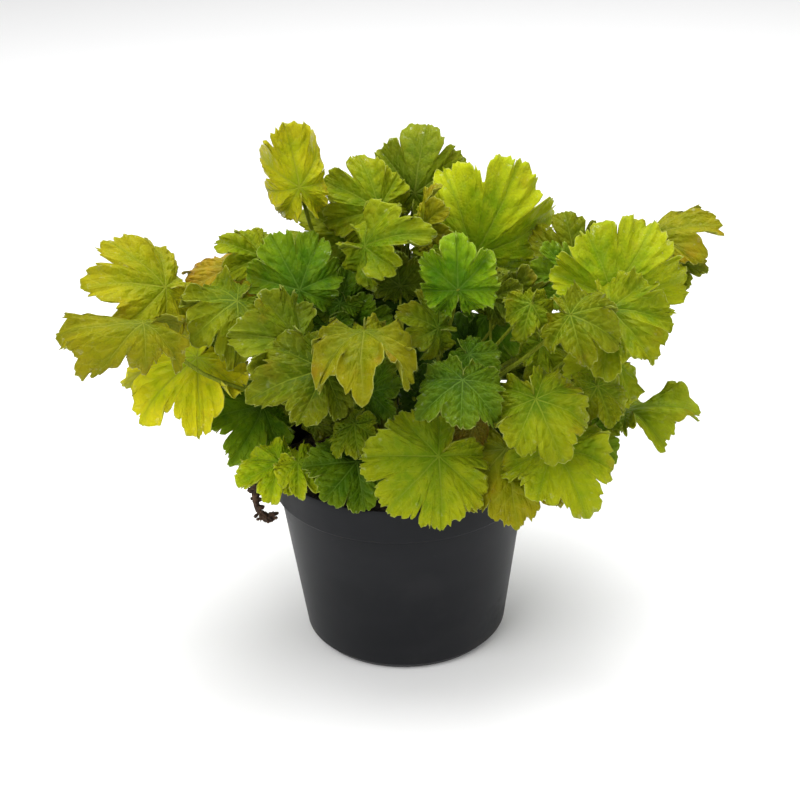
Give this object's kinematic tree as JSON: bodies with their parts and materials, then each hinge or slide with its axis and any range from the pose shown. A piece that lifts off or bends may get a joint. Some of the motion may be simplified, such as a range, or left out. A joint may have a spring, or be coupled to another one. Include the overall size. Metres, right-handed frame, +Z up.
{
  "type": "potted heuchera plant",
  "caption": "Low mounded garden perennial with lobed, ruffled lime-green leaves on thin stalks, growing from soil in a round black nursery pot that stands on its flat base.",
  "frame": {"origin": "middle of the pot's flat underside, on the surface it stands on", "axes": "+Z up along the pot's axis; -Y is the plant's front as pictured; +X to the right seen from the front, along the plant's widest spread"},
  "size_m": [0.36, 0.2371, 0.3035],
  "materials": {
    "pot_plastic": "matte charcoal moulded plastic",
    "peat": "moist dark peat with fibres",
    "rootstock": "knobby brown crown",
    "leaf_lime": "satin lime blade with paler edge",
    "leaf_gold": "satin yellow-green blade",
    "leaf_green": "satin mid green blade",
    "leaf_olive": "satin olive blade",
    "leaf_amber": "dry amber blade",
    "leaf_deep": "shaded dark green blade"
  },
  "bodies": {
    "root": {"crown": "rootstock", "leaf_back_1_1": "leaf_olive", "leaf_back_1_2": "leaf_lime", "leaf_back_1_3": "leaf_green", "leaf_back_1_4": "leaf_gold", "leaf_back_1_5": "leaf_olive", "leaf_back_2_1": "leaf_lime", "leaf_back_2_2": "leaf_green", "leaf_back_2_3": "leaf_gold", "leaf_back_2_4": "leaf_olive", "leaf_back_3_1": "leaf_green", "leaf_back_3_2": "leaf_gold", "leaf_back_3_3": "leaf_olive", "leaf_centre_green_ruffled": "leaf_green", "leaf_centre_top_bright": "leaf_lime", "leaf_centre_yellow": "leaf_gold", "leaf_far_left_top": "leaf_gold", "leaf_far_right_behind": "leaf_olive", "leaf_far_right_low": "leaf_olive", "leaf_far_right_top": "leaf_gold", "leaf_front_centre": "leaf_lime", "leaf_front_left": "leaf_green", "leaf_inner_right_small": "leaf_deep", "leaf_left_big_green": "leaf_green", "leaf_left_bright_big": "leaf_lime", "leaf_left_centre_lower": "leaf_lime", "leaf_left_centre_olive": "leaf_olive", "leaf_left_dark_lower": "leaf_deep", "leaf_left_dark_mid": "leaf_deep", "leaf_left_green_behind": "leaf_green", "leaf_left_mid_bright": "leaf_lime", "leaf_left_most": "leaf_gold", "leaf_left_old_orange": "leaf_amber", "leaf_left_top_small": "leaf_lime", "leaf_mid_dark_right": "leaf_deep", "leaf_mid_right_green": "leaf_green", "leaf_right_back_lower": "leaf_green", "leaf_right_back_upper": "leaf_olive", "leaf_right_big_lower": "leaf_lime", "leaf_right_big_upper": "leaf_lime", "leaf_right_front": "leaf_lime", "leaf_right_low_dark": "leaf_deep", "leaf_right_lower": "leaf_lime", "leaf_right_lower_behind": "leaf_green", "leaf_right_mid": "leaf_green", "leaf_right_ruffled": "leaf_lime", "leaf_right_yellow_old": "leaf_gold", "leaf_rim_left_inner": "leaf_green", "leaf_rim_left_outer": "leaf_green", "leaf_rim_right_old": "leaf_gold", "leaf_small_bright": "leaf_lime", "leaf_top_centre": "leaf_olive", "leaf_top_folded": "leaf_gold", "leaf_top_left_lone": "leaf_lime", "leaf_top_left_lower": "leaf_lime", "leaf_top_left_pale": "leaf_olive", "leaf_top_right_big": "leaf_lime", "leaf_withered_small": "leaf_amber", "pot": "pot_plastic", "soil": "peat"}
  },
  "joints": []
}
